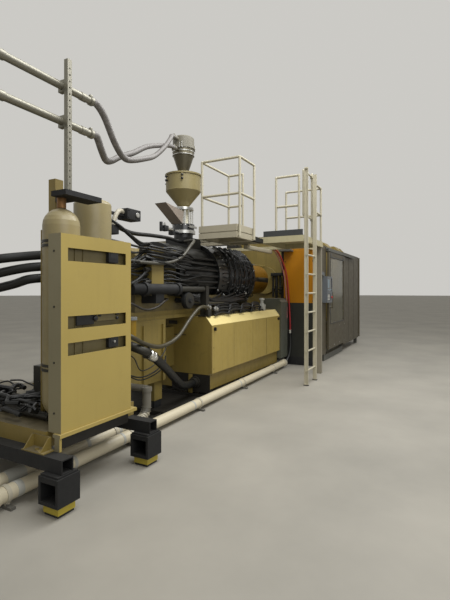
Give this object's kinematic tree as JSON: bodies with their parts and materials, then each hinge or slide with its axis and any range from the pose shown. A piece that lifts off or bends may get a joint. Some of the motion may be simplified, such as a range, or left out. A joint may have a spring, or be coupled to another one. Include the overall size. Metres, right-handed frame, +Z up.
{
  "type": "injection moulding machine",
  "caption": "Horizontal injection moulding machine with a jacketed barrel, accumulators at the rear, a hopper platform and a guarded hydraulic clamp.",
  "frame": {"origin": "floor under the middle of the stationary platen, on the centreline", "axes": "+X along the machine from the injection unit to the clamp, +Z up, the operator stands on the -Y side"},
  "size_m": [11.0646, 3.298, 3.942],
  "materials": {
    "black_paint": "satin black paint",
    "pad_yellow": "chipped yellow paint on a rubber foot",
    "cream_paint": "aged cream machine paint",
    "bottle_paint": "pale cream paint, slightly dusty",
    "dark_steel": "oily dark steel",
    "red_paint": "red paint",
    "galvanised": "dull galvanised steel",
    "grey_hose": "ribbed grey flexible hose",
    "black_plastic": "matt black",
    "motor_blue": "blue machine paint",
    "orange_rubber": "moulded coupling rubber",
    "ground_steel": "ground steel with oil film",
    "white_pipe": "white pipe lagging",
    "pipe_grey": "grey fittings",
    "orange_paint": "yellow-orange safety paint",
    "frame_grey": "dark grey paint",
    "platform_grey": "light grey paint",
    "landing_cream": "cream-grey paint",
    "rail_white": "off-white paint",
    "black_hose": "black hydraulic hose",
    "filter_yellow": "yellow filter body with a grey cap",
    "jacket_black": "black guard, satin",
    "connector_steel": "bright connectors",
    "hopper_cream": "cream-olive paint",
    "loader_grey": "grey steel with a clear section",
    "gate_grey": "grey gate paint",
    "window_clear": "clear safety glazing",
    "amber_guard": "amber guard",
    "panel_grey": "dark grey housing with a dark screen",
    "red_plastic": "red mushroom button"
  },
  "bodies": {
    "root": {"cross_beams": "black_paint", "foot_blocks": "black_paint", "levelling_pads": "pad_yellow", "rear_skid": "cream_paint", "accumulator_rack": "cream_paint", "accumulator_bottles": "bottle_paint", "bottle_clamps": "dark_steel", "accumulator_manifold": "dark_steel", "top_tray": "dark_steel", "conveying_mast": "galvanised", "loader_hose_a": "grey_hose", "loader_hose_b": "grey_hose", "rear_bed": "cream_paint", "injection_base": "cream_paint", "front_cover": "cream_paint", "kick_panel": "cream_paint", "power_pack": "motor_blue", "guide_rails": "ground_steel", "water_pipes": "white_pipe", "pipe_fittings": "pipe_grey", "stationary_platen": "cream_paint", "tie_bars": "ground_steel", "clamp_cylinder": "cream_paint", "clamp_base": "cream_paint", "guard_panels": "orange_paint", "guard_frame": "frame_grey", "platform_deck": "platform_grey", "landing": "landing_cream", "railings": "rail_white", "ladder": "rail_white", "rear_hoses": "black_hose", "oil_filter": "filter_yellow", "feed_hoses": "black_hose", "pull_in_rods": "dark_steel"},
    "shutoff": {"shutoff_lever": "red_paint"},
    "latch_left": {"cover_latch_left": "black_plastic"},
    "latch_right": {"cover_latch_right": "black_plastic"},
    "coupling": {"pump_coupling": "orange_rubber"},
    "head_gate": {"ladder_gate": "rail_white"},
    "carriage": {"carriage_frame": "cream_paint", "pull_in_cylinders": "dark_steel", "barrel": "dark_steel", "barrel_jacket": "jacket_black", "heater_connectors": "connector_steel", "nozzle": "dark_steel", "feed_throat": "dark_steel", "hopper": "hopper_cream", "vacuum_loader": "loader_grey", "carriage_hoses": "black_hose"},
    "throat_gate": {"slide_gate": "ground_steel"},
    "drive": {"screw_drive": "cream_paint"},
    "screw_body": {"screw": "ground_steel"},
    "moving": {"moving_platen": "cream_paint"},
    "ejector": {"ejector_plate": "ground_steel"},
    "front_gate": {"operator_gate": "gate_grey", "gate_window": "window_clear"},
    "back_gate": {"rear_gate": "gate_grey"},
    "purge": {"purge_guard": "amber_guard"},
    "panel": {"control_panel": "panel_grey"},
    "button": {"stop_button": "red_plastic"}
  },
  "joints": [
    {"name": "shutoff_turn", "type": "hinge", "parent": "root", "child": "shutoff", "pos_m": [-6.57, -0.55, 0.904], "axis": [0, 0, 1], "range_deg": [0, 90]},
    {"name": "latch_left_turn", "type": "hinge", "parent": "root", "child": "latch_left", "pos_m": [-4.01, -0.8, 0.965], "axis": [0, 1, 0], "range_deg": [0, 90]},
    {"name": "latch_right_turn", "type": "hinge", "parent": "root", "child": "latch_right", "pos_m": [-1.52, -0.8, 0.965], "axis": [0, 1, 0], "range_deg": [0, 90]},
    {"name": "coupling_spin", "type": "hinge", "parent": "root", "child": "coupling", "pos_m": [-2.9, -0.47, 0.62], "axis": [1, 0, 0], "continuous": true},
    {"name": "head_gate_swing", "type": "hinge", "parent": "root", "child": "head_gate", "pos_m": [-2.172, -1.666, 2.73], "axis": [0, 0, -1], "range_deg": [0, 90]},
    {"name": "carriage_slide", "type": "slide", "parent": "root", "child": "carriage", "axis": [1, 0, 0], "range_m": [-0.4, 0], "deforming": ["feed_hoses", "loader_hose_a", "loader_hose_b"]},
    {"name": "throat_gate_slide", "type": "slide", "parent": "carriage", "child": "throat_gate", "axis": [0, -1, 0], "range_m": [0, 0.13]},
    {"name": "screw_stroke", "type": "slide", "parent": "carriage", "child": "drive", "axis": [1, 0, 0], "range_m": [-0.35, 0]},
    {"name": "screw_spin", "type": "hinge", "parent": "drive", "child": "screw_body", "pos_m": [-4, 0, 1.74], "axis": [1, 0, 0], "continuous": true},
    {"name": "clamp_slide", "type": "slide", "parent": "root", "child": "moving", "axis": [1, 0, 0], "range_m": [-0.55, 0]},
    {"name": "ejector_slide", "type": "slide", "parent": "moving", "child": "ejector", "axis": [-1, 0, 0], "range_m": [0, 0.15]},
    {"name": "front_gate_slide", "type": "slide", "parent": "root", "child": "front_gate", "axis": [1, 0, 0], "range_m": [0, 1.2]},
    {"name": "back_gate_slide", "type": "slide", "parent": "root", "child": "back_gate", "axis": [1, 0, 0], "range_m": [0, 1.2]},
    {"name": "purge_guard_lift", "type": "hinge", "parent": "root", "child": "purge", "pos_m": [-1.16, 0.012, 2.064], "axis": [-1, 0, 0], "range_deg": [0, 100]},
    {"name": "panel_swivel", "type": "hinge", "parent": "root", "child": "panel", "pos_m": [-0.73, -1.45, 1.83], "axis": [0, 0, -1], "range_deg": [0, 90]},
    {"name": "stop_press", "type": "slide", "parent": "panel", "child": "button", "axis": [0, 1, 0], "range_m": [0, 0.006]}
  ]
}
